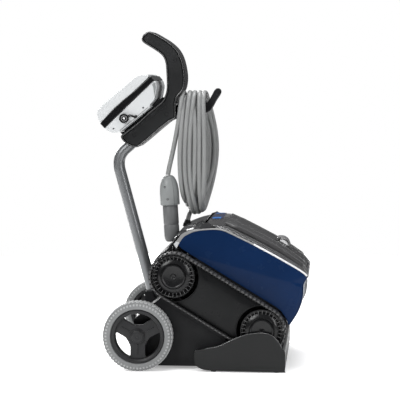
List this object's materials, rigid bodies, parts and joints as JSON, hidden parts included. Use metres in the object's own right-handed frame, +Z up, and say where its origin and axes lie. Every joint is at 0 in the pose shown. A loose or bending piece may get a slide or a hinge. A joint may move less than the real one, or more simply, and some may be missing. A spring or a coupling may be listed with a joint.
{
  "type": "pool cleaner",
  "caption": "Tracked robotic pool cleaner docked on a two-wheeled caddy with a mast, curved handle, control box, cable hook and coiled swivel cable.",
  "frame": {"origin": "middle of the footprint on the floor", "axes": "+Z up, +X from the wheels towards the cradle, +Y to the left seen from behind the handle"},
  "size_m": [0.5875, 0.488, 0.919],
  "materials": {
    "black_plastic": "fine moulded grain",
    "handle_plastic": "satin",
    "handle_inlay": "satin",
    "track_cover": "satin",
    "pulley_plastic": "moulded",
    "wheel_plastic": "moulded",
    "dark_trim": "moulded",
    "grey_trim": "moulded",
    "gloss_black": "polished",
    "white_shell": "glossy",
    "blue_panel": "glossy",
    "badge_blue": "glossy",
    "button_blue": "satin",
    "swivel_plastic": "moulded",
    "cable": "smooth jacket",
    "black_rubber": "matt",
    "grey_tyre": "soft rubber with tread nubs",
    "grey_tube": "painted satin",
    "steel": "brushed",
    "smoked_window": "smoked, polished"
  },
  "bodies": {
    "caddy": {"base_shell": "black_plastic", "front_cradle": "black_plastic", "cradle_feet": "black_rubber", "mast_socket": "black_plastic", "mast_tube": "grey_tube", "wheel_axle": "steel", "handle_frame": "handle_plastic", "left_handle_cover": "handle_inlay", "right_handle_cover": "handle_inlay", "handle_screws": "steel", "cable_hook": "black_plastic", "box_cradle": "black_plastic", "cable_coil": "cable", "swivel_cable": "cable", "inlet_cable": "cable", "swivel_housing": "swivel_plastic"},
    "swivel": {"swivel_barrel": "swivel_plastic"},
    "cleaner": {"cleaner_hull": "black_plastic", "left_side_panel": "blue_panel", "right_side_panel": "blue_panel", "front_panel": "blue_panel", "front_grille": "grey_trim", "rear_bumper": "black_plastic", "rear_cover": "dark_trim", "left_track_belt": "black_rubber", "right_track_belt": "black_rubber", "left_track_cover": "track_cover", "right_track_cover": "track_cover", "track_axles": "steel", "cable_boot": "black_rubber", "filter_basket": "grey_trim", "pump_motor": "dark_trim", "drive_motors": "dark_trim", "lid_hinge_pin": "steel"},
    "lid": {"lid_window": "smoked_window", "lid_frame": "grey_trim", "lid_badge": "badge_blue"},
    "latch": {"lid_latch": "grey_trim"},
    "impeller": {"impeller": "dark_trim"},
    "front_brush": {"front_brush": "black_rubber"},
    "rear_brush": {"rear_brush": "black_rubber"},
    "control_box": {"box_case": "white_shell", "box_lid": "white_shell", "box_band": "gloss_black", "box_outlet": "gloss_black", "outlet_tether": "black_rubber", "power_module": "dark_trim"},
    "start_button": {"start_button": "button_blue"},
    "mode_button": {"mode_button": "grey_trim"},
    "left_wheel": {"left_tyre": "grey_tyre", "left_wheel_hub": "wheel_plastic", "left_hub_cap": "wheel_plastic"},
    "left_rear_pulley": {"left_rear_pulley": "pulley_plastic"},
    "left_front_pulley": {"left_front_pulley": "pulley_plastic"},
    "right_wheel": {"right_tyre": "grey_tyre", "right_wheel_hub": "wheel_plastic", "right_hub_cap": "wheel_plastic"},
    "right_rear_pulley": {"right_rear_pulley": "pulley_plastic"},
    "right_front_pulley": {"right_front_pulley": "pulley_plastic"}
  },
  "joints": [
    {"name": "right_wheel_spin", "type": "hinge", "parent": "caddy", "child": "right_wheel", "pos_m": [-0.167, -0.222, 0.095], "axis": [0, 1, 0], "continuous": true},
    {"name": "left_wheel_spin", "type": "hinge", "parent": "caddy", "child": "left_wheel", "pos_m": [-0.167, 0.222, 0.095], "axis": [0, 1, 0], "continuous": true},
    {"name": "cleaner_lift", "type": "slide", "parent": "caddy", "child": "cleaner", "axis": [0.766, 0, 0.6428], "range_m": [0, 0.015], "deforming": ["inlet_cable"]},
    {"name": "lid_hinge", "type": "hinge", "parent": "cleaner", "child": "lid", "pos_m": [0.01791, 0, 0.39202], "axis": [0, -1, 0], "range_deg": [0, 55]},
    {"name": "latch_lift", "type": "hinge", "parent": "lid", "child": "latch", "pos_m": [0.20826, 0, 0.33847], "axis": [0, -1, 0], "range_deg": [0, 20], "stiffness_Nm_per_rad": 0.2},
    {"name": "impeller_spin", "type": "hinge", "parent": "cleaner", "child": "impeller", "pos_m": [-0.01544, 0, 0.36021], "axis": [0.5189, 0, 0.8548], "continuous": true},
    {"name": "box_lift", "type": "slide", "parent": "caddy", "child": "control_box", "axis": [-0.6428, 0, 0.766], "range_m": [0, 0.12]},
    {"name": "start_press", "type": "slide", "parent": "control_box", "child": "start_button", "axis": [0.6428, 0, -0.766], "range_m": [0, 0.0015], "stiffness_N_per_m": 800},
    {"name": "mode_press", "type": "slide", "parent": "control_box", "child": "mode_button", "axis": [0.6428, 0, -0.766], "range_m": [0, 0.0015], "stiffness_N_per_m": 800},
    {"name": "swivel_spin", "type": "hinge", "parent": "caddy", "child": "swivel", "pos_m": [-0.0973, -0.045, 0.437], "axis": [-0.0593, 0, 0.9982], "continuous": true},
    {"name": "right_track_drive", "type": "hinge", "parent": "cleaner", "child": "right_rear_pulley", "pos_m": [-0.0718, -0.199, 0.2558], "axis": [0, 1, 0], "continuous": true},
    {"name": "right_front_spin", "type": "hinge", "parent": "cleaner", "child": "right_front_pulley", "pos_m": [0.16746, -0.199, 0.11055], "axis": [0, 1, 0], "continuous": true},
    {"name": "left_track_drive", "type": "hinge", "parent": "cleaner", "child": "left_rear_pulley", "pos_m": [-0.0718, 0.199, 0.2558], "axis": [0, 1, 0], "continuous": true},
    {"name": "left_front_spin", "type": "hinge", "parent": "cleaner", "child": "left_front_pulley", "pos_m": [0.16746, 0.199, 0.11055], "axis": [0, 1, 0], "continuous": true},
    {"name": "rear_brush_spin", "type": "hinge", "parent": "cleaner", "child": "rear_brush", "pos_m": [-0.0718, 0, 0.2558], "axis": [0, 1, 0], "continuous": true},
    {"name": "front_brush_spin", "type": "hinge", "parent": "cleaner", "child": "front_brush", "pos_m": [0.16746, 0, 0.11055], "axis": [0, 1, 0], "continuous": true}
  ],
  "couplings": [
    {"joint": "right_front_spin", "follows": "right_track_drive", "ratio": 1},
    {"joint": "left_front_spin", "follows": "left_track_drive", "ratio": 1},
    {"joint": "rear_brush_spin", "follows": "right_track_drive", "ratio": 1},
    {"joint": "front_brush_spin", "follows": "left_track_drive", "ratio": 1}
  ]
}
